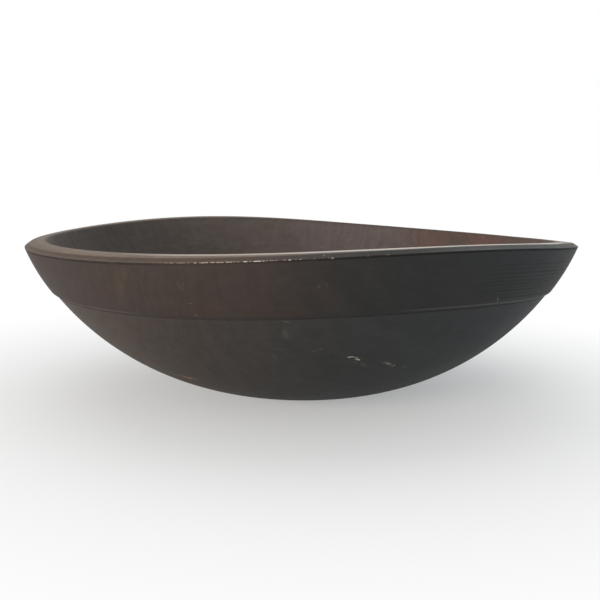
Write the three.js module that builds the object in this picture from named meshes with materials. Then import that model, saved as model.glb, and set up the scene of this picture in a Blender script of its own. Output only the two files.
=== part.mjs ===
// A turned wooden bowl: one block of wood, shaped and hollowed on a lathe, with a raised band below its rim.
// The wood dried after turning. It shrank across the grain, so the rim is oval and bends in a slight saddle.
// Units are millimetres and +Z is up. The origin is the middle of the foot, and +X runs along the grain.

import * as THREE from "three";

// Outside, as turned
const RIM_RADIUS = 206.5; // outer edge of the rim
const RIM_HEIGHT = 116.1; // outer edge of the rim above the foot
const FOOT_RADIUS = 37; // flat that the bowl stands on
const FOOT_SLOPE = THREE.MathUtils.degToRad(2.5); // slope at which the body leaves the foot

// Raised band below the rim
const BAND_HEIGHT = 32.8; // from the outer edge of the rim down to the band's lower edge
const BAND_FLARE = 17; // overhang of the rim past the band's lower edge
const BAND_CROWN = 1.1; // swell of the band's face off a straight line
const STEP_DEPTH = 3.2; // level depth of the step under the band
const STEP_FALL = 1.9; // fall of the step from the band's edge to the body
const STEP_ROUND = 1.3; // worn rounding of the band's lower edge

// Rim
const RIM_WIDTH = 15.5; // from the outer edge to the mouth
const BEVEL_WIDTH = 4;
const BEVEL_HEIGHT = 2.7;
const RIM_FACE_RISE = 0.8; // rise of the rim's top face towards the mouth
const LIP_ROUND = 2.8; // worn rounding between the top face and the hollow

// Hollow
const FLOOR_THICKNESS = 17; // wood between the foot and the hollow
const FLOOR_RADIUS = 28; // level middle of the hollow

// How the wood moved as it dried
const CROSS_GRAIN_SHRINK = 0.02; // share of its width lost across the grain
const RIM_SADDLE = 5.7; // rise of the rim across the grain, and its fall along the grain
const RIM_SKEW = 0.4; // how much further the +X end of the grain falls, and the other end less
const RIM_WAVE = 0.8; // rise of the rim along and across the grain, and its fall between them
const BENDING_POWER = 3.4; // how much of the bending lies near the rim

// Fineness of the facets
const FACETS_AROUND = 80;
const BODY_STEPS = 12;
const STEP_STEPS = 4;
const BAND_STEPS = 5;
const LIP_STEPS = 4;
const HOLLOW_STEPS = 14;

const PATINA = new THREE.MeshStandardMaterial({ color: 0x443a35, roughness: 0.55, metalness: 0 });

// Outline points: x is the distance from the lathe's axis, and y is the height above the foot.
const point = (radius, height) => new THREE.Vector2(radius, height);

// Points after the start of an arc that leaves the start at a slope and ends at another point.
function arcFrom(start, slope, end, steps) {
  const chord = end.clone().sub(start);
  const halfTurn = chord.angle() - slope;
  const radius = chord.length() / (2 * Math.sin(halfTurn));
  const centre = point(start.x - radius * Math.sin(slope), start.y + radius * Math.cos(slope));
  return Array.from({ length: steps }, (_, index) => {
    const heading = slope + (2 * halfTurn * (index + 1)) / steps;
    return point(centre.x + radius * Math.sin(heading), centre.y - radius * Math.cos(heading));
  });
}

// Points after the start of an arc whose middle stands off the straight line by its crown.
function crownedArc(start, crown, end, steps) {
  const chord = end.clone().sub(start);
  const halfTurn = 2 * Math.atan((2 * crown) / chord.length());
  return arcFrom(start, chord.angle() - halfTurn, end, steps);
}

// Points after the start of a worn corner between two edges.
function wornCorner(start, corner, end, steps) {
  return new THREE.QuadraticBezierCurve(start, corner, end).getPoints(steps).slice(1);
}

// Point on the way from one point to another, at a distance from the first.
function along(from, to, distance) {
  return to.clone().sub(from).setLength(distance).add(from);
}

// The whole outline, from the middle of the foot, up the outside, over the rim and down into the hollow.
function bowlOutline() {
  const footMiddle = point(0, 0);
  const footEdge = point(FOOT_RADIUS, 0);
  const rimEdge = point(RIM_RADIUS, RIM_HEIGHT);
  const bandEdge = point(RIM_RADIUS - BAND_FLARE, RIM_HEIGHT - BAND_HEIGHT);
  const bandStart = along(bandEdge, rimEdge, STEP_ROUND);
  const stepRoot = point(bandEdge.x - STEP_DEPTH, bandEdge.y - STEP_FALL);
  const bevelTop = point(RIM_RADIUS - BEVEL_WIDTH, RIM_HEIGHT + BEVEL_HEIGHT);
  const mouth = point(RIM_RADIUS - RIM_WIDTH, bevelTop.y + RIM_FACE_RISE);
  const floorMiddle = point(0, FLOOR_THICKNESS);
  const floorEdge = point(FLOOR_RADIUS, FLOOR_THICKNESS);

  const hollowToMouth = arcFrom(floorEdge, 0, mouth, HOLLOW_STEPS);
  const wallBelowMouth = hollowToMouth[HOLLOW_STEPS - 2];
  const lipStart = along(mouth, bevelTop, LIP_ROUND);
  const lipEnd = along(mouth, wallBelowMouth, LIP_ROUND);

  return [
    footMiddle,
    footEdge,
    ...arcFrom(footEdge, FOOT_SLOPE, stepRoot, BODY_STEPS),
    ...wornCorner(stepRoot, bandEdge, bandStart, STEP_STEPS),
    ...crownedArc(bandStart, BAND_CROWN, rimEdge, BAND_STEPS),
    bevelTop,
    lipStart,
    ...wornCorner(lipStart, mouth, lipEnd, LIP_STEPS),
    ...hollowToMouth.slice(0, -1).reverse(),
    floorEdge,
    floorMiddle,
  ];
}

// Moves each point of the turned bowl to where it lies in the dried wood. The foot stays flat.
function dryTheWood(geometry) {
  const places = geometry.getAttribute("position");
  const place = new THREE.Vector3();
  for (let index = 0; index < places.count; index += 1) {
    place.fromBufferAttribute(places, index);
    const radius = Math.hypot(place.x, place.y);
    const outFromFoot = Math.max(0, (radius - FOOT_RADIUS) / (RIM_RADIUS - FOOT_RADIUS));
    const aroundFromGrain = Math.atan2(place.y, place.x);
    const saddle = RIM_SADDLE * Math.cos(2 * aroundFromGrain);
    const skew = RIM_SKEW * Math.cos(3 * aroundFromGrain);
    const wave = RIM_WAVE * Math.cos(4 * aroundFromGrain);
    place.z += (wave - saddle - skew) * outFromFoot ** BENDING_POWER;
    place.y *= 1 - CROSS_GRAIN_SHRINK;
    places.setXYZ(index, place.x, place.y, place.z);
  }
  geometry.computeVertexNormals();
}

function turnBowl() {
  const geometry = new THREE.LatheGeometry(bowlOutline(), FACETS_AROUND);
  geometry.rotateX(Math.PI / 2);
  dryTheWood(geometry);
  const bowl = new THREE.Mesh(geometry, PATINA);
  bowl.name = "bowl";
  return bowl;
}

const turnedBowl = new THREE.Group();
turnedBowl.add(turnBowl());

export default turnedBowl;
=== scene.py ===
import math
from typing import NamedTuple

import bpy
import numpy as np
from mathutils import Matrix, Vector, noise


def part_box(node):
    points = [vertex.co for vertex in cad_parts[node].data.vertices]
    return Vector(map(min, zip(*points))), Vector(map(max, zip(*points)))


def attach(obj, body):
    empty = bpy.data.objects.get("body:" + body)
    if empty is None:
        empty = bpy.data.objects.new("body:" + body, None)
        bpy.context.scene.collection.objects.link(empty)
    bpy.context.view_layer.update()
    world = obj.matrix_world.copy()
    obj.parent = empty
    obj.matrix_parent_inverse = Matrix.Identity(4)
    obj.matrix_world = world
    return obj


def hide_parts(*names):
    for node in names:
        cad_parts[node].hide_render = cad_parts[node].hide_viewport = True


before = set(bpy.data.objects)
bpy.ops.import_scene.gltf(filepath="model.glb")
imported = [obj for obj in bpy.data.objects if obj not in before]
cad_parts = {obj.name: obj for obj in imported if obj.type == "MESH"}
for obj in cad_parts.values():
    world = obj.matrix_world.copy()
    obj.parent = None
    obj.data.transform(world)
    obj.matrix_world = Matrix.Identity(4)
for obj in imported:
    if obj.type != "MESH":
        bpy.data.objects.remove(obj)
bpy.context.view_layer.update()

bl_info = {
    "name": "Turned wooden bowl",
    "version": (1, 0, 0),
    "blender": (4, 5, 0),
    "location": "3D View > Sidebar > Bowl",
    "description": "Turns an old wooden bowl, dries and wears it, and sets it on a pale stage",
    "category": "Add Mesh",
}

CAD_LOW, CAD_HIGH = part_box("bowl")
CAD_HALF_LENGTH = (CAD_HIGH.x - CAD_LOW.x) / 2
CAD_HALF_WIDTH = (CAD_HIGH.y - CAD_LOW.y) / 2

PIECE = "turned_bowl"
MM = 0.001
SAME_PLACE = 0.01 * MM
PHOTO_SIDE = 600
PIXEL_MIDDLE = 0.5
SENSOR_WIDTH_MM = 36.0

# Fineness of the mesh: rings along each run of the outline, steps around it, and cuts at chips and nicks
STEPS_AROUND = 320
RINGS = {
    "foot": 6,
    "body": 60,
    "step": 8,
    "band": 88,
    "edge": 6,
    "bevel": 7,
    "arris": 5,
    "rim": 6,
    "lip": 7,
    "hollow": 84,
    "floor": 6,
}
EDGE_CUTS = 10
NICK_CUTS = 5


class Mark(NamedTuple):
    """One mark that use left on the wood, drawn between two pixels of the photograph."""

    name: str
    start_pixel: tuple
    end_pixel: tuple
    width: float
    colour: str
    strength: float
    depth: float = 0.0
    core: float = 0.55


MARKS = (
    Mark("cream_nick_tail", (346, 357), (349, 357), 1.6 * MM, "scuffed", 0.7, 0.2 * MM),
    Mark("cream_nick_upper", (349.6, 356.8), (352.4, 356.9), 1.9 * MM, "bare", 0.66, 0.35 * MM),
    Mark("cream_nick_end", (352.5, 357.2), (357.5, 357.8), 1.5 * MM, "bare", 0.4, 0.3 * MM),
    Mark("cream_nick_lower", (355, 359.2), (359, 359.4), 1.6 * MM, "bare", 0.52, 0.35 * MM),
    Mark("cream_nick_speck", (354, 362), (355, 362), 1.8 * MM, "hazed", 0.5, 0.2 * MM, 0.2),
    Mark("brown_scuff_below_nick", (360, 363), (366, 366), 5.0 * MM, "scuffed", 0.16, 0.0, 0.0),
    Mark("tan_nick_point", (381, 363), (384, 363), 1.8 * MM, "hazed", 0.6, 0.1 * MM, 0.2),
    Mark("tan_nick", (384, 362), (391, 365), 3.4 * MM, "scuffed", 0.68, 0.25 * MM, 0.2),
    Mark("tan_nick_tail", (391, 366), (395, 364.5), 1.8 * MM, "scuffed", 0.8, 0.2 * MM, 0.3),
    Mark("tan_scuff_right", (401, 367), (407, 367), 2.0 * MM, "scuffed", 0.2, 0.0, 0.1),
    Mark("brown_scuff_left", (312, 351), (316, 350), 2.0 * MM, "scuffed", 0.22, 0.0, 0.1),
    Mark("brown_scuff_middle", (318, 349), (323, 348), 2.0 * MM, "scuffed", 0.2, 0.0, 0.1),
    Mark("grey_smear_high", (282, 321), (289, 322), 3.0 * MM, "hazed", 0.28, 0.0, 0.1),
    Mark("grey_smear", (284, 328), (286, 339), 6.0 * MM, "hazed", 0.24, 0.0, 0.0),
    Mark("grey_smear_low", (271, 352), (277, 360), 4.0 * MM, "hazed", 0.16, 0.0, 0.0),
    Mark("orange_scratch", (180, 375.5), (198, 379.3), 1.5 * MM, "orange", 1.0, 0.1 * MM),
    Mark("orange_scratch_upper", (170, 373), (184, 376), 0.9 * MM, "orange", 0.5),
    Mark("red_spot", (236, 391), (239, 393), 1.2 * MM, "orange", 0.4),
    Mark("ochre_smear", (118, 266), (121, 304), 12.0 * MM, "ochre", 0.16, 0.0, 0.0),
    Mark("ochre_smear_top", (122, 267), (125, 282), 7.0 * MM, "ochre", 0.16, 0.0, 0.0),
    Mark("red_smear", (318, 288), (336, 306), 18.0 * MM, "russet", 0.5, 0.0, 0.0),
    Mark("curl_left", (177, 280), (178, 286), 1.1 * MM, "hazed", 0.2, 0.0, 0.2),
    Mark("curl_bottom", (178, 287), (182, 288), 1.1 * MM, "hazed", 0.23, 0.0, 0.2),
    Mark("curl_right", (182, 287), (183, 282), 1.1 * MM, "hazed", 0.2, 0.0, 0.2),
    Mark("ochre_speck", (188, 303), (192, 303), 1.1 * MM, "ochre", 0.6),
    Mark("grey_speck", (193, 316), (197, 314), 1.3 * MM, "hazed", 0.45, 0.0, 0.3),
    Mark("band_scratch_left", (317, 284), (320, 288), 1.2 * MM, "hazed", 0.3, 0.0, 0.2),
    Mark("band_scratch_right", (326, 283), (327, 287), 1.2 * MM, "ochre", 0.35, 0.0, 0.2),
    Mark("pale_scratch", (498.5, 295.5), (496.5, 303), 1.1 * MM, "hazed", 0.8, 0.1 * MM, 0.3),
    Mark("hollow_smear", (133, 225), (140, 235), 5.0 * MM, "hazed", 0.35, 0.0, 0.0),
    Mark("bevel_speck_high", (323, 254.5), (324, 254.5), 1.0 * MM, "bare", 0.3),
    Mark("bevel_speck_low", (331, 258), (333, 258), 1.2 * MM, "bare", 0.26),
    Mark("hollow_light_spot", (308, 224), (311, 228), 9.0 * MM, "hazed", 0.4, 0.0, 0.0),
    Mark("hollow_red_spot", (318, 247), (325, 247), 5.0 * MM, "orange", 0.12, 0.0, 0.0),
    Mark("hollow_red_wall", (478, 241), (500, 241), 7.0 * MM, "orange", 0.07, 0.0, 0.0),
    Mark("hollow_dark_patch", (444, 236), (466, 236.5), 20.0 * MM, "dirt_and_painted_shade", 0.2, 0.0, 0.0),
)


class Chip(NamedTuple):
    """One chip along the rim's outer edge, between two columns of the photograph."""

    look: str
    start_column: float
    end_column: float


# Half the height of a chip, and how fresh the wood is in it
CHIP_LOOKS = {
    "faint": (0.12 * MM, 0.32),
    "old": (0.16 * MM, 0.62),
    "fresh": (0.19 * MM, 0.6),
    "bright": (0.21 * MM, 0.85),
}

# Chips in order along the edge
CHIPS = (
    Chip("faint", 164.5, 167.5),
    Chip("faint", 169, 173),
    Chip("faint", 176, 184.5),
    Chip("faint", 187, 189),
    Chip("fresh", 193.5, 196),
    Chip("fresh", 199, 207.5),
    Chip("fresh", 210.3, 214.2),
    Chip("fresh", 216, 223.5),
    Chip("fresh", 225.8, 232),
    Chip("old", 233, 234.6),
    Chip("old", 237, 238.8),
    Chip("bright", 242.8, 247.3),
    Chip("fresh", 249.2, 250.8),
    Chip("bright", 253, 260.5),
    Chip("old", 261.5, 264),
    Chip("old", 265.5, 267.5),
    Chip("old", 269.5, 271),
    Chip("old", 271.8, 273.5),
    Chip("old", 274.8, 276.5),
    Chip("old", 283, 285.5),
    Chip("bright", 288, 290.3),
    Chip("faint", 294.5, 296),
    Chip("old", 298.8, 301),
    Chip("faint", 313, 315),
    Chip("faint", 321.5, 322.5),
    Chip("old", 328, 329),
    Chip("faint", 366, 368),
    Chip("old", 384.7, 385.5),
    Chip("old", 387, 388.2),
)

# Pixels just above the rim's outer edge, from which the bearing at a column is found
RIM_EDGE_PIXELS = ((150, 261), (182, 262), (220, 261), (264, 260), (310, 257), (350, 255), (392, 252))


# Kinds of setting: lengths, angles (given in degrees and kept in radians), bearings, colours and powers


def metres(name, description, default, precision=4, **limits):
    return bpy.props.FloatProperty(
        name=name, description=description, default=default, unit="LENGTH", precision=precision, **limits
    )


def fine_metres(name, description, default):
    return metres(name, description, default, precision=5, min=0.0)


def degrees(name, description, default, **limits):
    return bpy.props.FloatProperty(
        name=name, description=description, default=math.radians(default), subtype="ANGLE", **limits
    )


def from_grain(name, description, default):
    return degrees(name, f"{description}, as an angle from the grain", default)


def tint(name, description, default):
    return bpy.props.FloatVectorProperty(
        name=name, description=description, default=default, size=3, min=0.0, max=1.0, subtype="COLOR"
    )


def watts(name, description, default):
    return bpy.props.FloatProperty(
        name=name, description=description, default=default, min=0.0, unit="POWER"
    )


class BowlSizes(bpy.types.PropertyGroup):
    """Sizes of the bowl as it was turned, and how the wood moved as it dried."""

    rim_radius: metres("Rim radius", "Outer edge of the rim as turned", CAD_HALF_LENGTH, min=0.05)
    rim_height: metres("Rim height", "Outer edge of the rim above the foot", 116.1 * MM, min=0.02)
    foot_radius: metres("Foot radius", "Flat that the bowl stands on", 37 * MM, min=0.01)
    foot_slope: degrees("Foot slope", "Slope at which the body leaves the foot", 2.5, min=0.0)
    band_height: metres(
        "Band height", "From the rim's outer edge down to the band's lower edge", 32.8 * MM, min=0.005
    )
    band_flare: metres("Band flare", "Overhang of the rim past the band's lower edge", 17 * MM, min=0.0)
    band_crown: metres("Band crown", "Swell of the band's face off a straight line", 1.1 * MM, min=0.0001)
    step_depth: metres("Step depth", "Level depth of the step under the band", 3.2 * MM, min=0.0005)
    step_fall: metres("Step fall", "Fall of the step from the band's edge to the body", 1.9 * MM, min=0.0)
    step_round: metres("Step rounding", "Worn rounding of the band's lower edge", 1.3 * MM, min=0.0005)
    rim_width: metres("Rim width", "From the rim's outer edge to the mouth", 15.5 * MM, min=0.008)
    bevel_width: metres("Bevel width", "Level width of the bevel on the rim", 4 * MM, min=0.002)
    bevel_height: metres("Bevel height", "Rise of the bevel on the rim", 2.7 * MM, min=0.0)
    rim_rise: metres("Rim rise", "Rise of the rim's top face towards the mouth", 0.8 * MM, min=0.0)
    edge_round: metres("Edge rounding", "Worn rounding of the rim's outer edge", 0.8 * MM, min=0.0002)
    arris_round: metres(
        "Arris rounding", "Worn rounding between the bevel and the rim's top face", 1 * MM, min=0.0002
    )
    lip_round: metres(
        "Lip rounding", "Worn rounding between the rim's top face and the hollow", 2.8 * MM, min=0.0005
    )
    floor_thickness: metres("Floor thickness", "Wood between the foot and the hollow", 17 * MM, min=0.004)
    floor_radius: metres("Floor radius", "Level middle of the hollow", 28 * MM, min=0.005)
    cross_grain_shrink: bpy.props.FloatProperty(
        name="Shrinkage", description="Share of its width that the bowl lost across the grain",
        default=1 - CAD_HALF_WIDTH / CAD_HALF_LENGTH, min=0.0, max=0.1, subtype="FACTOR",
    )
    rim_saddle: metres(
        "Saddle", "Rise of the rim across the grain, and its fall along the grain", 5.7 * MM, min=0.0
    )
    rim_skew: metres(
        "Skew", "How much further the +X end of the grain falls, and the other end less", 0.4 * MM
    )
    rim_wave: metres(
        "Wave", "Rise of the rim along and across the grain, and its fall between them", 0.8 * MM
    )
    tip_bearing: from_grain("Lifted tip", "Where the rim bends up most", -38)
    tip_lift: metres("Tip lift", "How much higher the rim bends there", 1 * MM)
    bending_power: bpy.props.FloatProperty(
        name="Bending reach", description="How much of the bending lies near the rim",
        default=3.4, min=1.0,
    )


class BowlWear(bpy.types.PropertyGroup):
    """Tool marks, dirt and damage on the surface, where they lie, and where light and shade are painted on
    it.
    """

    ridge_pitch: metres("Ridge pitch", "Spacing of the fine ridges on the band", 2.7 * MM, min=0.001)
    ridge_depth: fine_metres("Ridge depth", "Depth of the grooves between the ridges", 0.5 * MM)
    ridge_bearing: from_grain("Ridge bearing", "Where the ridges are strongest", -68)
    ridge_reach: degrees("Ridge reach", "Angle to each side over which the ridges fade out", 25, min=0.01)
    ripple_depth: fine_metres("Ripple depth", "Slow unevenness of the whole surface", 0.15 * MM)
    gouge_pitch: metres("Gouge pitch", "Spacing of the turning marks in the hollow", 14 * MM, min=0.002)
    gouge_depth: fine_metres("Gouge depth", "Depth of the turning marks in the hollow", 0.12 * MM)
    chip_depth: fine_metres("Chip depth", "Depth of the small chips along the rim's outer edge", 0.4 * MM)
    groove_depth: fine_metres("Groove depth", "Depth of the groove under the rim's black edge", 0.8 * MM)
    # Also where the rim's outer edge is painted lighter as a painted highlight
    scuffed_bearing: from_grain("Scuffed side", "Where the bevel is scuffed grey", -68)
    handled_bearing: from_grain("Handled side", "Where hands have worn the lip palest", -100)
    dusty_bearing: from_grain("Dusty side", "Where dust lies under the lip", 154)
    # Painted shade: the patina on the flank between these bearings, which lies in shade, is painted darker
    shaded_flank_start: from_grain("Blackening start", "Where the blackened flank starts", -133)
    shaded_flank_end: from_grain("Blackening end", "Where the blackened flank ends", -44)
    # Painted light: round this bearing the body's lit flank is painted warmer and lighter
    lit_side_bearing: from_grain("Browned side", "Where the body is brownest", 180)
    dull_rim_bearing: from_grain("Dull end", "Where the rim's top face is rubbed least", 172)
    # Where the painted shadow line under the rim's edge is faintest
    faint_shadow_edge_bearing: from_grain("Clean edge", "Where least dirt lies under the rim's edge", -130)
    ashen_bearing: from_grain("Ashen side", "Where the hollow is greyest", 47)
    reddened_bearing: from_grain("Reddened side", "Where the hollow is reddest", -10)


class BowlColours(bpy.types.PropertyGroup):
    """Colours of the wood and its patina, and of the light and shade painted on it."""

    brown: tint("Brown patina", "Most of the band", (0.0345, 0.026, 0.0225))
    russet: tint("Russet patina", "Redder patches of the band", (0.0385, 0.0245, 0.0205))
    umber: tint("Umber patina", "Greyer patina below the band", (0.0298, 0.0307, 0.0312))
    # Painted light: a lighter, browner copy of the patina, painted on the lit flank below the band
    painted_light: tint(
        "Weathered patina", "Lighter, browner patina at one side below the band", (0.0555, 0.044, 0.0365)
    )
    # Painted shade: a darker copy of the patina, painted on the flank that lies in shade
    painted_shade: tint("Blackened patina", "The darkest flank of the outside", (0.0200, 0.0194, 0.0192))
    hollow: tint("Hollow", "Brown wood of the hollow", (0.091, 0.073, 0.062))
    hollow_red: tint("Red wood in the hollow", "Redder patches of the hollow", (0.115, 0.067, 0.059))
    hollow_ashen: tint(
        "Ashen wood in the hollow", "Lighter, greyer part of the hollow", (0.113, 0.089, 0.086)
    )
    hollow_worn: tint(
        "Worn floor of the hollow", "Lighter wood where the hollow is used most", (0.150, 0.117, 0.090)
    )
    hollow_stain: tint("Stain in the hollow", "Darker patches of the hollow", (0.080, 0.062, 0.052))
    rubbed: tint("Rubbed wood", "Wood worn pale along the rim", (0.156, 0.114, 0.083))
    pale: tint("Pale wood", "Wood that hands have worn palest along the lip", (0.315, 0.228, 0.155))
    # Dark colour of dirt and of painted shade: the painted shadow lines in the step and under the rim's
    # edge, and the painted shade between the ridges. The pores take it too
    dirt_and_painted_shade: tint("Grime", "Dirt in the step and in the grooves", (0.012, 0.011, 0.0105))
    bare: tint("Bare wood", "Fresh wood in chips and nicks", (0.74, 0.69, 0.61))
    scuffed: tint("Scuffed wood", "Wood in older, dirtier nicks", (0.22, 0.20, 0.155))
    dust: tint("Dust", "Dust on the wall under the lip", (0.16, 0.145, 0.125))
    # Also the colour of rubbed wood and of the painted highlight along the edge on the flank in shade
    hazed: tint("Haze", "Greyish scratches and smears", (0.110, 0.108, 0.104))
    ochre: tint("Ochre", "Yellowish smears", (0.105, 0.070, 0.036))
    orange: tint("Orange", "Fresh scratch through the patina", (0.42, 0.21, 0.12))


class StageSettings(bpy.types.PropertyGroup):
    """The camera's place, the floor and the lights."""

    camera_distance: metres("Camera distance", "From the middle of the rim", 637.67 * MM, min=0.3)
    camera_elevation: degrees(
        "Camera elevation", "Height of the camera, as an angle above the rim's middle", 3.853
    )
    grain_turn: degrees("Grain turn", "How far the grain runs away from the picture's right", 28.94)
    camera_fall: degrees("Camera fall", "Angle of the camera's line below level", 8.218)
    camera_swing: degrees(
        "Camera swing", "Angle of the camera's line to the right of the bowl's axis", -0.125
    )
    camera_roll: degrees("Camera roll", "Turn of the camera about its own line", 0.803)
    focal_length: bpy.props.FloatProperty(
        name="Focal length", description="Focal length of the camera, in millimetres",
        default=48.815, min=10.0, unit="CAMERA",
    )
    floor_size: metres("Floor size", "Side of the floor", 40.0, min=2.0, precision=2)
    floor_colour: tint("Floor colour", "Plain pale floor", (0.86, 0.86, 0.86))
    sky_colour: tint("Sky colour", "Light from all round", (0.80, 0.95, 1.0))
    sky_strength: bpy.props.FloatProperty(
        name="Sky strength", description="Strength of the light from all round", default=0.2, min=0.0,
    )
    window_power: watts("Window power", "Large soft light, low on the left", 35.0)
    window_colour: tint("Window colour", "Colour of the large soft light", (1.0, 0.90, 0.80))
    ceiling_power: watts("Ceiling power", "Soft light overhead", 15.0)
    fill_power: watts("Fill power", "Weak soft light, low on the right", 8.5)
    fill_colour: tint("Fill colour", "Colour of the weak soft light", (0.65, 0.85, 1.0))


# Outline of the bowl as turned. A point is (distance from the lathe's axis, height above the foot).


def point_on_arc(start, slope, end, share):
    """The point at a share of the arc that leaves the start at a slope and reaches the end."""
    chord = end - start
    half_turn = math.atan2(chord.y, chord.x) - slope
    radius = chord.length / (2 * math.sin(half_turn))
    heading = slope + 2 * half_turn * share
    across = radius * (math.sin(heading) - math.sin(slope))
    up = radius * (math.cos(slope) - math.cos(heading))
    return start + Vector((across, up))


def arc(start, slope, end, steps, whole=1.0):
    """Points after the start of an arc, up to a share of it."""
    return [point_on_arc(start, slope, end, whole * (step + 1) / steps) for step in range(steps)]


def crown_slope(start, crown, end):
    """Slope at which an arc leaves its start, if its middle stands off the straight line by the crown."""
    chord = end - start
    return math.atan2(chord.y, chord.x) - 2 * math.atan(2 * crown / chord.length)


def straight(start, end, steps):
    """Points after the start of a straight run."""
    return [start.lerp(end, (step + 1) / steps) for step in range(steps)]


def worn_corner(start, corner, end, steps):
    """Points after the start of a rounded corner."""
    shares = [(step + 1) / steps for step in range(steps)]
    return [start.lerp(corner, share).lerp(corner.lerp(end, share), share) for share in shares]


def along(start, end, distance):
    """The point on the way from one point to another, at a distance from the first."""
    return start + (end - start).normalized() * distance


class Outline(NamedTuple):
    """The outline's points, how far along it each lies, and where each run starts and ends."""

    points: list
    lengths: np.ndarray
    runs: dict


def bowl_outline(sizes):
    """From the middle of the foot, up the outside, over the rim and down into the hollow."""
    foot_middle = Vector((0, 0))
    foot_edge = Vector((sizes.foot_radius, 0))
    rim_edge = Vector((sizes.rim_radius, sizes.rim_height))
    band_edge = rim_edge - Vector((sizes.band_flare, sizes.band_height))
    band_start = along(band_edge, rim_edge, sizes.step_round)
    step_root = band_edge - Vector((sizes.step_depth, sizes.step_fall))
    bevel_top = rim_edge + Vector((-sizes.bevel_width, sizes.bevel_height))
    mouth = Vector((sizes.rim_radius - sizes.rim_width, bevel_top.y + sizes.rim_rise))
    floor_edge = Vector((sizes.floor_radius, sizes.floor_thickness))
    floor_middle = Vector((0, sizes.floor_thickness))

    band_slope = crown_slope(band_start, sizes.band_crown, rim_edge)
    band_share = 1 - sizes.edge_round / (rim_edge - band_start).length
    edge_start = point_on_arc(band_start, band_slope, rim_edge, band_share)
    edge_end = along(rim_edge, bevel_top, sizes.edge_round)
    arris_start = along(bevel_top, rim_edge, sizes.arris_round)
    arris_end = along(bevel_top, mouth, sizes.arris_round)
    lip_start = along(mouth, bevel_top, sizes.lip_round)
    hollow_share = 1 - sizes.lip_round / (mouth - floor_edge).length
    lip_end = point_on_arc(floor_edge, 0, mouth, hollow_share)
    hollow_up = arc(floor_edge, 0, lip_end, RINGS["hollow"])

    # The body's rings lie closer together towards the step, where dirt and painted shade make a thin dark
    # line
    crowding = 1.7
    shares_left = [1 - (ring + 1) / RINGS["body"] for ring in range(RINGS["body"])]
    body_shares = [1 - share**crowding for share in shares_left]

    stretches = {
        "foot": straight(foot_middle, foot_edge, RINGS["foot"]),
        "body": [point_on_arc(foot_edge, sizes.foot_slope, step_root, share) for share in body_shares],
        "step": worn_corner(step_root, band_edge, band_start, RINGS["step"]),
        "band": arc(band_start, band_slope, rim_edge, RINGS["band"], band_share),
        "edge": worn_corner(edge_start, rim_edge, edge_end, RINGS["edge"]),
        "bevel": straight(edge_end, arris_start, RINGS["bevel"]),
        "arris": worn_corner(arris_start, bevel_top, arris_end, RINGS["arris"]),
        "rim": straight(arris_end, lip_start, RINGS["rim"]),
        "lip": worn_corner(lip_start, mouth, lip_end, RINGS["lip"]),
        "hollow": hollow_up[-2::-1] + [floor_edge],
        "floor": straight(floor_edge, floor_middle, RINGS["floor"]),
    }
    points = [foot_middle]
    lengths = [0.0]
    runs = {}
    for name, stretch in stretches.items():
        run_start = lengths[-1]
        for point in stretch:
            lengths.append(lengths[-1] + (point - points[-1]).length)
            points.append(point)
        runs[name] = (run_start, lengths[-1])
    return Outline(points, np.array(lengths), runs)


# Mesh: turned by spinning the outline, then dried, refined where it is damaged, and worn


def deselect_everything():
    bpy.ops.object.select_all(action="DESELECT")


def turn_on_lathe(outline):
    """Draws the outline by extruding one point, and spins it once round the lathe's axis."""
    deselect_everything()
    bpy.ops.mesh.primitive_plane_add(size=10 * MM, location=(0, 0, 0))
    bowl = bpy.context.object
    bowl.name = PIECE
    bowl.data.name = PIECE
    bpy.ops.object.mode_set(mode="EDIT")
    bpy.ops.mesh.select_mode(type="VERT")
    bpy.ops.mesh.select_all(action="SELECT")
    bpy.ops.mesh.merge(type="CENTER")
    for before, after in zip(outline.points, outline.points[1:]):
        move = after - before
        bpy.ops.mesh.extrude_region_move(TRANSFORM_OT_translate={"value": (move.x, 0, move.y)})
    bpy.ops.object.mode_set(mode="OBJECT")
    write_values(bowl, "along_outline", outline.lengths)
    bpy.ops.object.mode_set(mode="EDIT")
    bpy.ops.mesh.select_all(action="SELECT")
    bpy.ops.mesh.spin(steps=STEPS_AROUND, angle=math.tau, center=(0, 0, 0), axis=(0, 0, 1))
    bpy.ops.mesh.select_all(action="SELECT")
    bpy.ops.mesh.remove_doubles(threshold=SAME_PLACE)
    bpy.ops.mesh.normals_make_consistent(inside=False)
    bpy.ops.object.mode_set(mode="OBJECT")
    return bowl


def write_values(bowl, name, values):
    """Keeps one number for each vertex on the mesh."""
    attributes = bowl.data.attributes
    kept = attributes.get(name) or attributes.new(name, "FLOAT", "POINT")
    kept.data.foreach_set("value", np.asarray(values, np.float32))


def read_values(bowl, name):
    values = np.zeros(len(bowl.data.vertices), np.float32)
    bowl.data.attributes[name].data.foreach_get("value", values)
    return values.astype(float)


def read_vectors(bowl, name):
    """A vector of each vertex: its place, which the mesh calls co, or its normal."""
    vectors = np.zeros(len(bowl.data.vertices) * 3, np.float32)
    bowl.data.vertices.foreach_get(name, vectors)
    return vectors.reshape(-1, 3).astype(float)


def write_places(bowl, places):
    bowl.data.vertices.foreach_set("co", places.astype(np.float32).ravel())
    bowl.data.update()


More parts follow.
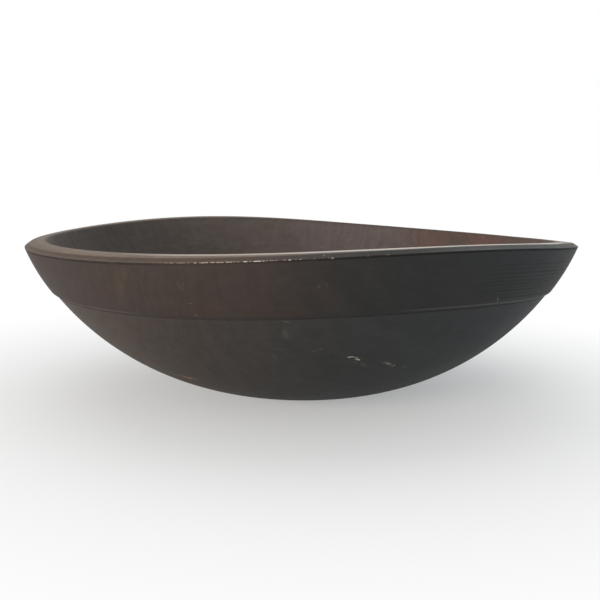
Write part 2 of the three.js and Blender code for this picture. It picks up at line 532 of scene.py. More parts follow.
def dry_the_wood(bowl, sizes):
    """The wood shrinks across the grain, and the rim bends into a saddle. The foot stays flat."""
    places = read_vectors(bowl, "co")
    radius = np.hypot(places[:, 0], places[:, 1])
    bearing = np.arctan2(places[:, 1], places[:, 0])
    out_from_foot = (radius - sizes.foot_radius) / (sizes.rim_radius - sizes.foot_radius)
    out_from_foot = np.clip(out_from_foot, 0, None)
    bending = sizes.rim_wave * np.cos(4 * bearing)
    bending -= sizes.rim_saddle * np.cos(2 * bearing) + sizes.rim_skew * np.cos(3 * bearing)
    places[:, 2] += bending * out_from_foot ** sizes.bending_power
    lift = sizes.tip_lift * near_bearing(bearing, sizes.tip_bearing, 10, 32)
    places[:, 2] += lift * out_from_foot ** (3 * sizes.bending_power)
    places[:, 1] *= 1 - sizes.cross_grain_shrink
    write_places(bowl, places)


def bearings_of(places, sizes):
    """Angle of each place round the bowl from the grain, as turned."""
    return np.arctan2(places[..., 1] / (1 - sizes.cross_grain_shrink), places[..., 0])


def refine_edges(bowl, chosen, cuts):
    """Cuts the chosen edges into shorter ones."""
    mesh = bowl.data
    mesh.vertices.foreach_set("select", np.zeros(len(mesh.vertices), bool))
    mesh.polygons.foreach_set("select", np.zeros(len(mesh.polygons), bool))
    mesh.edges.foreach_set("select", chosen)
    bpy.context.tool_settings.mesh_select_mode = (False, True, False)
    bpy.ops.object.mode_set(mode="EDIT")
    bpy.ops.mesh.subdivide(number_cuts=cuts, smoothness=0.0)
    bpy.ops.object.mode_set(mode="OBJECT")


def edge_ends(bowl):
    ends = np.zeros(len(bowl.data.edges) * 2, np.int32)
    bowl.data.edges.foreach_get("vertices", ends)
    return ends.reshape(-1, 2)


def smooth_step(low, high, values):
    share = np.clip((values - low) / (high - low), 0, 1)
    return share * share * (3 - 2 * share)


def near_run(lengths, run, fade):
    """1 on a run of the outline, falling to 0 over a distance to each side."""
    return smooth_step(run[0] - fade, run[0], lengths) * smooth_step(run[1] + fade, run[1], lengths)


def angle_between(bearing, middle):
    return np.abs((bearing - middle + math.pi) % math.tau - math.pi)


def near_bearing(bearing, middle, full_degrees, end_degrees):
    """1 within an angle of a bearing, falling to 0 at a wider angle."""
    full = math.radians(full_degrees)
    end = math.radians(end_degrees)
    return smooth_step(end, full, angle_between(bearing, middle))


class Sight(NamedTuple):
    """The photograph's camera: where it stands and its three directions."""

    place: Vector
    right: Vector
    up: Vector
    ahead: Vector


def photo_sight(stage, sizes):
    """The camera's place and directions, worked out from its distance and angles."""
    level_right = Vector((math.cos(stage.grain_turn), -math.sin(stage.grain_turn), 0))
    level_away = Vector((math.sin(stage.grain_turn), math.cos(stage.grain_turn), 0))
    straight_up = Vector((0, 0, 1))
    rim_middle = straight_up * sizes.rim_height
    back = level_away * -math.cos(stage.camera_elevation) + straight_up * math.sin(stage.camera_elevation)
    level_ahead = level_right * math.sin(stage.camera_swing) + level_away * math.cos(stage.camera_swing)
    ahead = level_ahead * math.cos(stage.camera_fall) - straight_up * math.sin(stage.camera_fall)
    right = ahead.cross(straight_up).normalized()
    up = right.cross(ahead)
    turned_right = right * math.cos(stage.camera_roll) + up * math.sin(stage.camera_roll)
    turned_up = up * math.cos(stage.camera_roll) - right * math.sin(stage.camera_roll)
    return Sight(rim_middle + back * stage.camera_distance, turned_right, turned_up, ahead)


def place_at_pixel(bowl, sight, stage, pixel):
    """The place on the bowl that shows at a pixel of the photograph, and its normal."""
    focal_pixels = stage.focal_length / SENSOR_WIDTH_MM * PHOTO_SIDE
    across = pixel[0] + PIXEL_MIDDLE - PHOTO_SIDE / 2
    above = PHOTO_SIDE / 2 - pixel[1] - PIXEL_MIDDLE
    direction = sight.ahead * focal_pixels + sight.right * across + sight.up * above
    hit, place, normal, _ = bowl.ray_cast(sight.place, direction.normalized())
    if not hit:
        raise RuntimeError(f"pixel {pixel} doesn't show the bowl")
    return place, normal


class Stroke(NamedTuple):
    """A mark where it lies on the bowl: its middle, its axes and its half sizes."""

    mark: Mark
    middle: Vector
    axes: Matrix
    half_sizes: Vector


# How far a mark reaches above and below the surface
STROKE_REACH = 4 * MM


def lay_strokes(bowl, sight, stage):
    """Finds where each mark of the photograph lies on the bowl."""
    strokes = []
    for mark in MARKS:
        start, start_normal = place_at_pixel(bowl, sight, stage, mark.start_pixel)
        end, end_normal = place_at_pixel(bowl, sight, stage, mark.end_pixel)
        normal = (start_normal + end_normal).normalized()
        span = end - start
        lengthways = (span - normal * span.dot(normal)).normalized()
        sideways = normal.cross(lengthways)
        axes = Matrix((lengthways, sideways, normal)).transposed()
        half_sizes = Vector((span.length / 2 + mark.width / 2, mark.width / 2, STROKE_REACH))
        strokes.append(Stroke(mark, (start + end) / 2, axes, half_sizes))
    return strokes


class LaidChip(NamedTuple):
    """A chip where it lies on the rim: its bearings, its height and how fresh its wood is."""

    start: float
    end: float
    half_height: float
    fresh: float


def lay_chips(bowl, sight, stage, sizes):
    """Finds the bearings of each chip from its columns in the photograph."""
    columns = [pixel[0] for pixel in RIM_EDGE_PIXELS]
    places = [place_at_pixel(bowl, sight, stage, pixel)[0] for pixel in RIM_EDGE_PIXELS]
    bearings = bearings_of(np.array(places), sizes)
    laid = []
    for chip in CHIPS:
        chip_start, chip_end = np.interp((chip.start_column, chip.end_column), columns, bearings)
        laid.append(LaidChip(chip_start, chip_end, *CHIP_LOOKS[chip.look]))
    return laid


def refine_damage(bowl, outline, sizes, strokes, chips):
    """Gives the chipped edge and the nicks enough vertices for their shapes."""
    edge_room = 2.2 * MM
    nick_room = 3 * MM
    ends = edge_ends(bowl)
    lengths = read_values(bowl, "along_outline")[ends]
    bearing = bearings_of(read_vectors(bowl, "co"), sizes)[ends]
    around = np.abs(lengths[:, 0] - lengths[:, 1]) < SAME_PLACE
    low, high = outline.runs["edge"]
    on_edge = (lengths[:, 0] > low - edge_room) & (lengths[:, 0] < high + edge_room)
    margin = math.tau / STEPS_AROUND
    in_reach = (bearing > chips[0].start - margin) & (bearing < chips[-1].end + margin)
    refine_edges(bowl, around & on_edge & in_reach.all(axis=1), EDGE_CUTS)

    places = read_vectors(bowl, "co")
    chosen = np.zeros(len(places), bool)
    for stroke in strokes:
        if stroke.mark.depth > 0:
            local = (places - np.array(stroke.middle)) @ np.array(stroke.axes)
            chosen |= (np.abs(local) < np.array(stroke.half_sizes) + nick_room).all(axis=1)
    refine_edges(bowl, chosen[edge_ends(bowl)].all(axis=1), NICK_CUTS)


def noise_at(places, scale, seed):
    """Smooth noise from -1 to 1 at each place."""
    shift = Vector((seed * 7.31, seed * 3.17, seed * 5.73))
    return np.array([noise.noise(Vector(place) * scale + shift) for place in places])


def stroke_mask(stroke, places):
    local = (places - np.array(stroke.middle)) @ np.array(stroke.axes) / np.array(stroke.half_sizes)
    return smooth_step(1.1, 0.5, np.linalg.norm(local, axis=1))


def ridge_depths(lengths, bearing, outline, wear):
    """Grooves between fine ridges along the rim, on one flank of the band and fainter on the other."""
    low, high = outline.runs["band"]
    wander = 0.25 * np.sin(lengths / (7.3 * MM)) + 0.1 * np.sin(lengths / (3.1 * MM) + 1.7)
    phase = (lengths - low) / wear.ridge_pitch + wander
    groove = 0.5 - 0.5 * np.cos(math.tau * phase)
    vary = 0.8 + 0.2 * np.sin(2.7 * phase + 0.8)
    inside = smooth_step(low - 2 * MM, low + 2 * MM, lengths)
    inside *= smooth_step(high - 4 * MM, high - 12 * MM, lengths)
    full_reach = 0.3 * wear.ridge_reach
    far_bearing = wear.ridge_bearing + math.pi
    near_flank = smooth_step(wear.ridge_reach, full_reach, angle_between(bearing, wear.ridge_bearing))
    far_flank = smooth_step(wear.ridge_reach, full_reach, angle_between(bearing, far_bearing))
    return groove * vary * inside * np.maximum(near_flank, 0.5 * far_flank)


def chip_masks(lengths, bearing, outline, sizes, chips, ragged):
    """How deep in a chip each vertex lies, and how fresh the wood is there."""
    edge_middle = sum(outline.runs["edge"]) / 2
    away_from_edge = np.abs(lengths - edge_middle)
    depth = np.zeros(len(lengths))
    fresh = np.zeros(len(lengths))
    end_fade = 0.25 * MM / sizes.rim_radius
    for chip in chips:
        inside = smooth_step(chip.start - end_fade, chip.start + end_fade, bearing)
        inside *= smooth_step(chip.end + end_fade, chip.end - end_fade, bearing)
        half_height = chip.half_height * (1 + 0.5 * ragged)
        inside *= smooth_step(1.3, 0.7, away_from_edge / half_height)
        depth = np.maximum(depth, inside)
        fresh = np.maximum(fresh, inside * chip.fresh)
    return depth, fresh


def shaded_flank_shares(bearing, wear):
    """How far each bearing lies in the flank that is darkened with painted shade."""
    started = smooth_step(wear.shaded_flank_start, wear.shaded_flank_start + math.radians(30), bearing)
    return started * smooth_step(wear.shaded_flank_end, wear.shaded_flank_end - math.radians(22), bearing)


def rubbed_shares(places, lengths, bearing, runs, wear):
    """How far hands and shelves have rubbed the patina off each vertex, and where the rim's outer edge and
    the step's arris are painted lighter as a painted highlight.
    """
    patchy = 0.5 + 0.5 * noise_at(places, scale=60.0, seed=4)
    brown_side = 1 - shaded_flank_shares(bearing, wear)
    scuffed_side = near_bearing(bearing, wear.scuffed_bearing, 18, 38)
    rim_face = near_run(lengths, (runs["arris"][0] + 0.5 * MM, runs["lip"][0] + 1.6 * MM), 0.8 * MM)
    rim_face *= 1 - 0.3 * near_bearing(bearing, wear.dull_rim_bearing, 10, 30)
    bevel = (0.1 + 0.12 * brown_side + 0.6 * scuffed_side) * near_run(lengths, runs["bevel"], 0.6 * MM)
    edge_low, edge_high = runs["edge"]
    # Painted highlight: on the scuffed side the rim's outer edge is painted much lighter, on top of its
    # wear
    edge = 0.1 + 0.2 * patchy + 0.2 * brown_side + 0.85 * scuffed_side
    edge *= near_run(lengths, (0.5 * (edge_low + edge_high), edge_high), 0.15 * MM)
    step_end = runs["step"][1]
    # Painted highlight, partly wear: the step's arris is painted lighter on the flanks, but not in the
    # middle of the side facing the camera
    flanks = 1 - near_bearing(bearing, wear.handled_bearing - math.radians(25), 22, 30)
    step_arris = (0.32 + 0.12 * scuffed_side) * flanks
    step_arris *= near_run(lengths, (step_end - 2.6 * MM, step_end - 1.8 * MM), 0.4 * MM)
    foot_edge = runs["foot"][1]
    foot = (0.2 + 0.3 * patchy) * near_run(lengths, (foot_edge - 2 * MM, foot_edge + 1 * MM), 3 * MM)
    return np.maximum.reduce([rim_face, bevel, edge, step_arris, foot])


def dusty_shares(lengths, bearing, runs, wear):
    """How much dust lies on each vertex of the wall under the lip."""
    lip_end = runs["lip"][1]
    under_lip = near_run(lengths, (lip_end - 1 * MM, lip_end + 4 * MM), 10 * MM)
    return 0.32 * under_lip * near_bearing(bearing, wear.dusty_bearing, 8, 24)


def pale_shares(places, lengths, bearing, runs, wear):
    """How pale each vertex of the lip has been worn: palest on the handled side, in patches elsewhere."""
    handled = near_bearing(bearing, wear.handled_bearing, 34, 56)
    patchy = smooth_step(0.1, 0.5, noise_at(places, scale=14.0, seed=5))
    width = (3.6 + 4.0 * shaded_flank_shares(bearing, wear)) * MM
    on_lip = near_run(lengths, (runs["rim"][1] - width, runs["lip"][0] + 0.5 * MM), 1.8 * MM)
    on_lip *= smooth_step(runs["lip"][0] + 1.2 * MM, runs["lip"][0] + 0.4 * MM, lengths)
    on_face = near_run(lengths, (runs["rim"][0], runs["lip"][0]), 0.5 * MM)
    tip = 0.52 * on_face * near_bearing(bearing, wear.scuffed_bearing + math.radians(26), 8, 22)
    lit_end = 0.07 * near_bearing(bearing, wear.lit_side_bearing, 20, 50)
    return np.maximum(on_lip * np.maximum.reduce([handled, 0.2 * patchy, lit_end]), tip)


def dirt_and_shade_shares(lengths, bearing, runs, wear, ridges):
    """How much dirt and painted shade lies on each vertex: a painted shadow line in the step and under the
    rim's edge, and painted shade between the ridges.
    """
    step_root = runs["step"][0]
    shaded_flank = shaded_flank_shares(bearing, wear)
    # Painted shadow line in the step, stronger on the flank in shade
    in_step = 0.6 + 0.4 * shaded_flank
    in_step *= near_run(lengths, (step_root - 0.4 * MM, step_root + 0.5 * MM), 0.5 * MM)
    edge_low = runs["edge"][0]
    faint_shadow_edge = near_bearing(bearing, wear.faint_shadow_edge_bearing, 6, 16)
    # Painted shadow line under the rim's edge, faintest at one bearing and strongest on the flank in shade
    under_edge = 0.9 + 0.5 * shaded_flank - 0.5 * faint_shadow_edge
    under_edge *= near_run(lengths, (edge_low - 0.7 * MM, edge_low + 0.3 * MM), 0.4 * MM)
    return np.maximum.reduce([in_step, under_edge, 0.7 * ridges])


def wear_the_surface(bowl, outline, sizes, wear, strokes, chips):
    """Moves the surface in by its marks and damage, and keeps how worn, dirty and bare each vertex is, and
    where light and shade are painted on it.
    """
    places = read_vectors(bowl, "co")
    normals = read_vectors(bowl, "normal")
    lengths = read_values(bowl, "along_outline")
    bearing = bearings_of(places, sizes)
    runs = outline.runs

    ripple = 0.5 + 0.5 * noise_at(places, scale=22.0, seed=1)
    ripple = 0.7 * ripple + 0.3 * (0.5 + 0.5 * noise_at(places, scale=70.0, seed=2))
    off_the_foot = smooth_step(runs["foot"][1], runs["foot"][1] + 8 * MM, lengths)
    depth = wear.ripple_depth * ripple * off_the_foot

    ridges = ridge_depths(lengths, bearing, outline, wear)
    depth += wear.ridge_depth * ridges
    edge_low = runs["edge"][0]
    groove = near_run(lengths, (edge_low - 0.6 * MM, edge_low - 0.25 * MM), 0.35 * MM)
    depth += wear.groove_depth * groove * shaded_flank_shares(bearing, wear)

    in_hollow = smooth_step(runs["lip"][0], runs["lip"][1] + 1 * MM, lengths)
    gouge_phase = (lengths - runs["hollow"][0]) / wear.gouge_pitch + 0.5 * np.sin(lengths / (23 * MM))
    depth += wear.gouge_depth * in_hollow * (0.5 - 0.5 * np.cos(math.tau * gouge_phase))

    ragged = noise_at(places, scale=900.0, seed=3)
    chipped, fresh = chip_masks(lengths, bearing, outline, sizes, chips, ragged)
    depth += wear.chip_depth * chipped
    for stroke in strokes:
        if stroke.mark.depth > 0:
            depth += stroke.mark.depth * stroke_mask(stroke, places) * (0.8 + 0.4 * ragged)
    write_places(bowl, places - normals * depth[:, None])

    step_root = runs["step"][0]
    radius = np.hypot(places[:, 0], places[:, 1])
    above_foot = smooth_step(28 * MM, 92 * MM, radius)
    above_floor = smooth_step(80 * MM, 165 * MM, radius + 12 * MM * noise_at(places, scale=26.0, seed=6))
    ragged_bearing = bearing + math.radians(11) * noise_at(places, scale=30.0, seed=7)
    # Painted light: the body's lit flank is painted lighter, standing in for the light and the floor's
    # reflection that fall there
    painted_light = 0.7 * near_bearing(bearing, wear.lit_side_bearing, 4, 40)
    painted_light += 0.25 * near_bearing(bearing, wear.lit_side_bearing, 20, 80)
    shares = {
        "rubbed": rubbed_shares(places, lengths, bearing, runs, wear),
        "pale": pale_shares(places, lengths, bearing, runs, wear),
        "dirt_and_painted_shade": dirt_and_shade_shares(lengths, bearing, runs, wear, ridges),
        "hollow": in_hollow,
        "below_band": smooth_step(step_root + 1.5 * MM, step_root, lengths),
        # Painted shade on the flank in shade
        "painted_shade": shaded_flank_shares(bearing, wear),
        # Painted warm light and painted light on the lit flank
        "painted_warmth": above_foot * near_bearing(bearing, wear.lit_side_bearing, 14, 78),
        "painted_light": above_foot * painted_light,
        "ashen": above_floor * near_bearing(ragged_bearing, wear.ashen_bearing, 0, 43),
        "dusty": dusty_shares(lengths, bearing, runs, wear),
        "floor_wear": in_hollow * (1 - above_floor),
        "reddened": above_floor * near_bearing(ragged_bearing, wear.reddened_bearing, 15, 52),
        "bare": fresh,
    }
    for name, values in shares.items():
        write_values(bowl, name, values)


# Finish: one wood material, worked out from the place on the bowl and from the kept values

GRAIN_STRETCH = (0.07, 1.0, 1.0)
SCRATCH_STRETCH = (0.06, 1.0, 0.15)
SCRATCH_TURNS = (0.4, 1.3, 2.5)
PITH_HEIGHT = 0.15
RING_WANDER = 0.03
MARK_RAGGEDNESS = 3 * MM


def add_node(tree, kind, inputs=None, **settings):
    """Adds a node, sets it, and gives each named input a value or a link."""
    made = tree.nodes.new(kind)
    for name, value in settings.items():
        setattr(made, name, value)
    for name, value in (inputs or {}).items():
        if isinstance(value, bpy.types.NodeSocket):
            tree.links.new(value, made.inputs[name])
        else:
            made.inputs[name].default_value = value
    return made


def colour_mix(tree, factor, first, second):
    """Mixes two colours, each a link or a plain colour."""
    mix = add_node(tree, "ShaderNodeMix", data_type="RGBA")
    for socket, value in ((mix.inputs[0], factor), (mix.inputs[6], first), (mix.inputs[7], second)):
        if isinstance(value, bpy.types.NodeSocket):
            tree.links.new(value, socket)
        elif isinstance(value, (int, float)):
            socket.default_value = value
        else:
            socket.default_value = (*value, 1.0)
    return mix.outputs[2]


def arithmetic(tree, operation, first, second=0.0, third=0.0):
    made = add_node(tree, "ShaderNodeMath", {0: first, 1: second, 2: third}, operation=operation)
    return made.outputs[0]


def product(tree, first, second):
    return arithmetic(tree, "MULTIPLY", first, second)


def scaled(tree, value, factor, added):
    """A value times a factor, with another value added."""
    return arithmetic(tree, "MULTIPLY_ADD", value, factor, added)


def weighted_sum(tree, start, *terms):
    """A start, with each further value added after it is multiplied by its weight."""
    total = start
    for value, weight in terms:
        total = scaled(tree, value, weight, total)
    return total


def vector_arithmetic(tree, operation, *values):
    made = add_node(tree, "ShaderNodeVectorMath", dict(enumerate(values)), operation=operation)
    return made.outputs["Value" if operation == "LENGTH" else "Vector"]


def soft_range(tree, value, low, high):
    """0 at low, 1 at high, with a soft change between them."""
    inputs = {"Value": value, "From Min": low, "From Max": high}
    return add_node(tree, "ShaderNodeMapRange", inputs, interpolation_type="SMOOTHSTEP").outputs[0]


def surface_noise(tree, place, scale, detail, roughness=0.5, stretch=None):
    """Noise on the place, drawn out along the grain where a stretch is given."""
    if stretch is not None:
        place = add_node(tree, "ShaderNodeMapping", {"Vector": place, "Scale": stretch}).outputs[0]
    inputs = {"Vector": place, "Scale": scale, "Detail": detail, "Roughness": roughness}
    return add_node(tree, "ShaderNodeTexNoise", inputs).outputs[0]


def kept_value(tree, name):
    return add_node(tree, "ShaderNodeAttribute", attribute_name=name).outputs["Fac"]


def stroke_in_material(tree, place, stroke):
    """A mask of one mark, measured in its own axes."""
    inputs = {
        "Vector": place,
        "Location": stroke.middle,
        "Rotation": stroke.axes.to_euler(),
        "Scale": stroke.half_sizes,
    }
    local = add_node(tree, "ShaderNodeMapping", inputs, vector_type="TEXTURE", label=stroke.mark.name)
    away = vector_arithmetic(tree, "LENGTH", local.outputs[0])
    return soft_range(tree, away, 1.0, stroke.mark.core)


def line_noise(tree, value, scale, detail):
    """Noise along one number."""
    inputs = {"W": value, "Scale": scale, "Detail": detail}
    return add_node(tree, "ShaderNodeTexNoise", inputs, noise_dimensions="1D").outputs[0]


def growth_rings(tree, place, wander):
    """Rings of the tree, which lie round a line along the grain above the bowl."""
    axes = add_node(tree, "ShaderNodeSeparateXYZ", {0: place}).outputs
    above = arithmetic(tree, "SUBTRACT", axes["Z"], PITH_HEIGHT)
    across_squared = product(tree, axes["Y"], axes["Y"])
    radius = arithmetic(tree, "SQRT", scaled(tree, above, above, across_squared))
    wandering = scaled(tree, wander, RING_WANDER, radius)
    return line_noise(tree, wandering, scale=260.0, detail=2.0)


def scratch_lines(tree, place, turn):
    """Sparse thin lines that run one way across the bowl."""
    inputs = {"Vector": place, "Rotation": (0, 0, turn), "Scale": SCRATCH_STRETCH}
    turned = add_node(tree, "ShaderNodeMapping", inputs).outputs[0]
    return soft_range(tree, surface_noise(tree, turned, scale=640.0, detail=1.0), 0.70, 0.76)


class Patterns(NamedTuple):
    """Patterns in the wood, each from 0 to 1."""

    clouds: bpy.types.NodeSocket
    patches: bpy.types.NodeSocket
    blotches: bpy.types.NodeSocket
    fibres: bpy.types.NodeSocket
    pores: bpy.types.NodeSocket
    rings: bpy.types.NodeSocket
    turning_lines: bpy.types.NodeSocket


def wood_patterns(tree, place):
    """Noise from broad to fine, the tree's rings, and the lines that the lathe's tool left."""
    clouds = surface_noise(tree, place, scale=11.0, detail=4.0)
    return Patterns(
        clouds=clouds,
        patches=surface_noise(tree, place, scale=34.0, detail=5.0, roughness=0.6),
        blotches=surface_noise(tree, place, scale=120.0, detail=4.0, roughness=0.6),
        fibres=surface_noise(tree, place, scale=420.0, detail=3.0, roughness=0.55, stretch=GRAIN_STRETCH),
        pores=surface_noise(tree, place, scale=1500.0, detail=2.0, stretch=GRAIN_STRETCH),
        rings=growth_rings(tree, place, clouds),
        turning_lines=line_noise(tree, kept_value(tree, "along_outline"), scale=1100.0, detail=2.0),
    )


def outside_colour(tree, colours, patterns, shaded_flank):
    """Brown and russet on the band, greyer below it, warmer and lighter below it on the lit flank as
    painted light, and near black on the flank in shade as painted shade.
    """
    russet_share = soft_range(tree, patterns.patches, 0.48, 0.70)
    band = colour_mix(tree, russet_share, colours.brown, colours.russet)
    below_band = kept_value(tree, "below_band")
    # Painted light: warmer and lighter patina on the lit flank below the band
    body = colour_mix(tree, kept_value(tree, "painted_warmth"), colours.umber, colours.brown)
    body = colour_mix(tree, kept_value(tree, "painted_light"), body, colours.painted_light)
    outside = colour_mix(tree, below_band, band, body)
    # Painted shade: the patina on the flank in shade is darkened, most on the band
    painted_shade = soft_range(tree, scaled(tree, patterns.patches, 0.4, shaded_flank), 0.2, 1.2)
    on_band = scaled(tree, below_band, -0.8, 1.0)
    return colour_mix(tree, product(tree, painted_shade, on_band), outside, colours.painted_shade)


def hollow_colour(tree, colours, patterns, floor_wear):
    """Brown wood with redder, stained and ashen parts, worn lighter on the floor."""
    reddened = scaled(tree, patterns.clouds, 1.2, kept_value(tree, "reddened"))
    inside = colour_mix(tree, soft_range(tree, reddened, 0.5, 1.6), colours.hollow, colours.hollow_red)
    stained = soft_range(tree, patterns.patches, 0.56, 0.30)
    inside = colour_mix(tree, stained, inside, colours.hollow_stain)
    inside = colour_mix(tree, kept_value(tree, "ashen"), inside, colours.hollow_ashen)
    floor_patches = product(tree, floor_wear, soft_range(tree, patterns.clouds, 0.35, 0.62))
    return colour_mix(tree, floor_patches, inside, colours.hollow_worn)


def wood_tone(tree, patterns, floor_wear):
    """How light the wood is at each place, against its mean colour."""
    tone = scaled(tree, patterns.fibres, 0.3, 0.85)
    tone = product(tree, tone, scaled(tree, patterns.blotches, 0.5, 0.75))
    tone = product(tree, tone, scaled(tree, patterns.rings, 0.28, 0.86))
    figure = product(tree, floor_wear, scaled(tree, patterns.rings, 0.7, -0.35))
    tone = product(tree, tone, arithmetic(tree, "ADD", figure, 1.0))
    return product(tree, tone, scaled(tree, patterns.turning_lines, 0.16, 0.92))


def mark_layers(tree, place, colours, strokes):
    """Each mark's mask, with ragged edges, and its colour."""
    raggedness = add_node(tree, "ShaderNodeTexNoise", {"Vector": place, "Scale": 700.0, "Detail": 3.0})
    centred = vector_arithmetic(tree, "SUBTRACT", raggedness.outputs["Color"], (0.5, 0.5, 0.5))
    ragged_place = vector_arithmetic(tree, "MULTIPLY_ADD", centred, [MARK_RAGGEDNESS] * 3, place)
    layers = []
    for stroke in strokes:
        mask = product(tree, stroke_in_material(tree, ragged_place, stroke), stroke.mark.strength)
        layers.append((mask, getattr(colours, stroke.mark.colour)))
    return layers


def aged_wood(colours, strokes):
    """Old dark patina over red-brown wood, rubbed pale and polished along the rim, with light and shade
    painted on it.
    """
    material = bpy.data.materials.new("aged_wood")
    material.use_nodes = True
    tree = material.node_tree
    shader = tree.nodes["Principled BSDF"]
    place = add_node(tree, "ShaderNodeTexCoord").outputs["Object"]
    patterns = wood_patterns(tree, place)
    hollow = kept_value(tree, "hollow")
    shaded_flank = kept_value(tree, "painted_shade")
    floor_wear = kept_value(tree, "floor_wear")

    outside = outside_colour(tree, colours, patterns, shaded_flank)
    inside = hollow_colour(tree, colours, patterns, floor_wear)
    tone = wood_tone(tree, patterns, floor_wear)
    surface = vector_arithmetic(tree, "MULTIPLY", colour_mix(tree, hollow, outside, inside), tone)

    dirty_and_shaded = product(tree, kept_value(tree, "dirt_and_painted_shade"), soft_range(tree, patterns.blotches, 0.2, 0.55))
    worn = product(tree, kept_value(tree, "rubbed"), soft_range(tree, patterns.patches, 0.05, 0.5))
    # On the flank in shade, rubbed wood and the painted highlight along the edge take the grey haze colour
    rubbed = colour_mix(tree, shaded_flank, colours.rubbed, colours.hazed)
    worn_pale = kept_value(tree, "pale")
    speckle = surface_noise(tree, place, scale=260.0, detail=4.0, roughness=0.6)
    dusty = product(tree, kept_value(tree, "dusty"), soft_range(tree, speckle, 0.46, 0.60))
    scratched = 0.0
    for turn in SCRATCH_TURNS:
        scratched = arithmetic(tree, "MAXIMUM", scratched, scratch_lines(tree, place, turn))
    scratched = product(tree, scratched, hollow)
    scratch_strength = scaled(tree, floor_wear, 0.3, 0.22)
    pore_mask = soft_range(tree, patterns.pores, 0.34, 0.24)

    # Layers over the wood, the lowest first
    layers = (
        # Dirt and painted shade: shadow lines painted in the step and under the rim's edge, and shade
        # painted between the ridges
        (dirty_and_shaded, colours.dirt_and_painted_shade),
        (worn, vector_arithmetic(tree, "MULTIPLY", rubbed, tone)),
        (worn_pale, vector_arithmetic(tree, "MULTIPLY", colours.pale, tone)),
        (dusty, colours.dust),
        (product(tree, scratched, scratch_strength), colours.rubbed),
        (product(tree, pore_mask, 0.6), colours.dirt_and_painted_shade),
        *mark_layers(tree, place, colours, strokes),
        (kept_value(tree, "bare"), colours.bare),
    )
    for share, colour in layers:
        surface = colour_mix(tree, share, surface, colour)
    tree.links.new(surface, shader.inputs["Base Color"])

    roughness_terms = ((patterns.patches, 0.14), (worn, -0.06), (worn_pale, -0.16), (dirty_and_shaded, 0.10))
    roughness = weighted_sum(tree, 0.60, *roughness_terms)
    tree.links.new(roughness, shader.inputs["Roughness"])
    shader.inputs["Specular IOR Level"].default_value = 0.2
    polish = product(tree, worn_pale, scaled(tree, shaded_flank, 0.27, 0.36))
    tree.links.new(polish, shader.inputs["Coat Weight"])
    shader.inputs["Coat Roughness"].default_value = 0.22

    relief_terms = (
        (patterns.blotches, 0.6),
        (patterns.turning_lines, 0.5),
        (pore_mask, -0.5),
        (scratched, -0.4),
    )
    relief = weighted_sum(tree, patterns.fibres, *relief_terms)
    bump = add_node(tree, "ShaderNodeBump", {"Height": relief, "Strength": 0.25, "Distance": 0.3 * MM})
    tree.links.new(bump.outputs[0], shader.inputs["Normal"])
    return material


# Stage: camera, floor, lights and background

# Share of plain white that the floor shows near the bowl, and the distances over which it becomes all white
WHITE_NEAR_BOWL = 0.32
WHITE_FLOOR_FADE = (0.02, 0.45)
LIGHT_TARGET = Vector((0, 0, 0.07))


def seen_directly(tree):
    """1 for rays that show the background: camera, glossy and transmission. 0 for rays that carry light."""
    path = add_node(tree, "ShaderNodeLightPath")
    seen = arithmetic(tree, "MAXIMUM", path.outputs["Is Camera Ray"], path.outputs["Is Glossy Ray"])
    return arithmetic(tree, "MAXIMUM", seen, path.outputs["Is Transmission Ray"])


def set_background(stage):
    world = bpy.data.worlds.new("pale_studio")
    world.use_nodes = True
    bpy.context.scene.world = world
    tree = world.node_tree
    tree.nodes.clear()
    sky_inputs = {"Color": (*stage.sky_colour, 1), "Strength": stage.sky_strength}
    sky = add_node(tree, "ShaderNodeBackground", sky_inputs)
    white = add_node(tree, "ShaderNodeBackground", {"Color": (1, 1, 1, 1), "Strength": 1.0})
    inputs = {0: seen_directly(tree), 1: sky.outputs[0], 2: white.outputs[0]}
    shown = add_node(tree, "ShaderNodeMixShader", inputs)
    add_node(tree, "ShaderNodeOutputWorld", {"Surface": shown.outputs[0]})


def pale_floor_material(stage):
    """Pale floor that keeps the shadow near the bowl and goes over to plain white further out."""
    material = bpy.data.materials.new("pale_floor")
    material.use_nodes = True
    tree = material.node_tree
    tree.nodes.clear()
    place = add_node(tree, "ShaderNodeTexCoord").outputs["Object"]
    far_out = soft_range(tree, vector_arithmetic(tree, "LENGTH", place), *WHITE_FLOOR_FADE)
    whitened = scaled(tree, far_out, 1 - WHITE_NEAR_BOWL, WHITE_NEAR_BOWL)
    share = product(tree, seen_directly(tree), whitened)
    plain = add_node(tree, "ShaderNodeBsdfDiffuse", {"Color": (*stage.floor_colour, 1)})
    white = add_node(tree, "ShaderNodeEmission", {"Color": (1, 1, 1, 1), "Strength": 1.0})
    shown = add_node(tree, "ShaderNodeMixShader", {0: share, 1: plain.outputs[0], 2: white.outputs[0]})
    add_node(tree, "ShaderNodeOutputMaterial", {"Surface": shown.outputs[0]})
    return material


def add_floor(stage):
    deselect_everything()
    bpy.ops.mesh.primitive_plane_add(size=stage.floor_size, location=(0, 0, 0))
    floor = bpy.context.object
    floor.name = "pale_floor"
    floor.data.materials.append(pale_floor_material(stage))


def add_soft_light(name, place, size, power, colour):
    """A large soft light at a place, facing the bowl."""
    light = bpy.data.lights.new(name, "AREA")
    light.shape = "RECTANGLE"
    light.size, light.size_y = size
    light.energy = power
    light.color = colour
    lamp = bpy.data.objects.new(name, light)
    bpy.context.scene.collection.objects.link(lamp)
    lamp.location = place
    lamp.rotation_euler = (LIGHT_TARGET - place).to_track_quat("-Z", "Y").to_euler()
    lamp.visible_camera = False


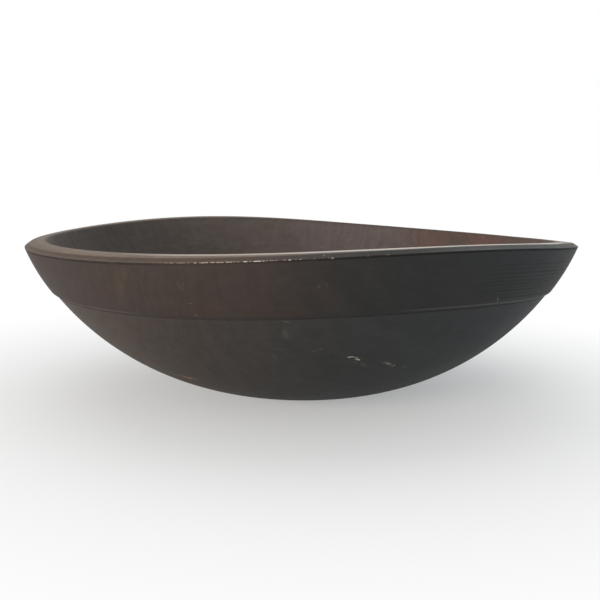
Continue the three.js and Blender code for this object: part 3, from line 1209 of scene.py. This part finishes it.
def add_camera(stage, sight):
    camera = bpy.data.cameras.new("photo_camera")
    camera.sensor_width = SENSOR_WIDTH_MM
    camera.lens = stage.focal_length
    camera.clip_start = 0.02
    holder = bpy.data.objects.new("photo_camera", camera)
    bpy.context.scene.collection.objects.link(holder)
    axes = Matrix((sight.right, sight.up, -sight.ahead)).transposed()
    holder.matrix_world = Matrix.Translation(sight.place) @ axes.to_4x4()
    bpy.context.scene.camera = holder


def from_the_camera(sight, right, away, up):
    """A place given by distances to the camera's right, away from it and up, from the floor's middle."""
    level_right = Vector((sight.right.x, sight.right.y, 0)).normalized()
    level_away = Vector((sight.ahead.x, sight.ahead.y, 0)).normalized()
    return level_right * right + level_away * away + Vector((0, 0, up))


class TURNED_BOWL_OT_set_stage(bpy.types.Operator):
    """Sets the camera, the pale floor, the soft lights and the white background"""

    bl_idname = "turned_bowl.set_stage"
    bl_label = "Set the stage"

    def execute(self, context):
        scene = context.scene
        stage = scene.stage_settings
        sight = photo_sight(stage, scene.bowl_sizes)
        add_camera(stage, sight)
        set_background(stage)
        add_floor(stage)
        window = from_the_camera(sight, right=-1.2, away=-1.4, up=0.35)
        add_soft_light("window_light", window, (1.0, 0.6), stage.window_power, stage.window_colour)
        ceiling = from_the_camera(sight, right=-0.2, away=0.5, up=1.9)
        add_soft_light("ceiling_light", ceiling, (2.2, 2.2), stage.ceiling_power, (1, 1, 1))
        fill = from_the_camera(sight, right=1.7, away=-0.5, up=0.3)
        add_soft_light("fill_light", fill, (1.2, 0.5), stage.fill_power, stage.fill_colour)
        scene.view_settings.view_transform = "Standard"
        return {"FINISHED"}


class TURNED_BOWL_OT_turn_bowl(bpy.types.Operator):
    """Turns the bowl, dries and wears it, and gives it its wood"""

    bl_idname = "turned_bowl.turn_bowl"
    bl_label = "Turn the bowl"

    def execute(self, context):
        scene = context.scene
        sizes = scene.bowl_sizes
        stage = scene.stage_settings
        outline = bowl_outline(sizes)
        bowl = turn_on_lathe(outline)
        dry_the_wood(bowl, sizes)
        sight = photo_sight(stage, sizes)
        strokes = lay_strokes(bowl, sight, stage)
        chips = lay_chips(bowl, sight, stage, sizes)
        refine_damage(bowl, outline, sizes, strokes, chips)
        wear_the_surface(bowl, outline, sizes, scene.bowl_wear, strokes, chips)
        bpy.ops.object.shade_smooth()
        bowl.data.materials.clear()
        bowl.data.materials.append(aged_wood(scene.bowl_colours, strokes))
        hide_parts("bowl")
        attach(bowl, "root")
        return {"FINISHED"}


class VIEW3D_PT_turned_bowl(bpy.types.Panel):
    """Lists the sizes and colours of the bowl and the steps that make it"""

    bl_label = "Turned bowl"
    bl_idname = "VIEW3D_PT_turned_bowl"
    bl_space_type = "VIEW_3D"
    bl_region_type = "UI"
    bl_category = "Bowl"

    def draw(self, context):
        for operator in OPERATORS:
            self.layout.operator(operator.bl_idname)
        for name in SETTINGS:
            box = self.layout.box()
            box.label(text=name.replace("_", " ").capitalize())
            settings = getattr(context.scene, name)
            for setting in settings.__annotations__:
                box.prop(settings, setting)


SETTINGS = {
    "bowl_sizes": BowlSizes,
    "bowl_wear": BowlWear,
    "bowl_colours": BowlColours,
    "stage_settings": StageSettings,
}
OPERATORS = (TURNED_BOWL_OT_set_stage, TURNED_BOWL_OT_turn_bowl)
CLASSES = (*SETTINGS.values(), *OPERATORS, VIEW3D_PT_turned_bowl)


def register():
    for listed in CLASSES:
        bpy.utils.register_class(listed)
    for name, group in SETTINGS.items():
        setattr(bpy.types.Scene, name, bpy.props.PointerProperty(type=group))


def unregister():
    for name in SETTINGS:
        delattr(bpy.types.Scene, name)
    for listed in reversed(CLASSES):
        bpy.utils.unregister_class(listed)


def main():
    register()
    bpy.ops.turned_bowl.set_stage()
    bpy.ops.turned_bowl.turn_bowl()
    bpy.context.view_layer.update()


if __name__ == "__main__":
    main()
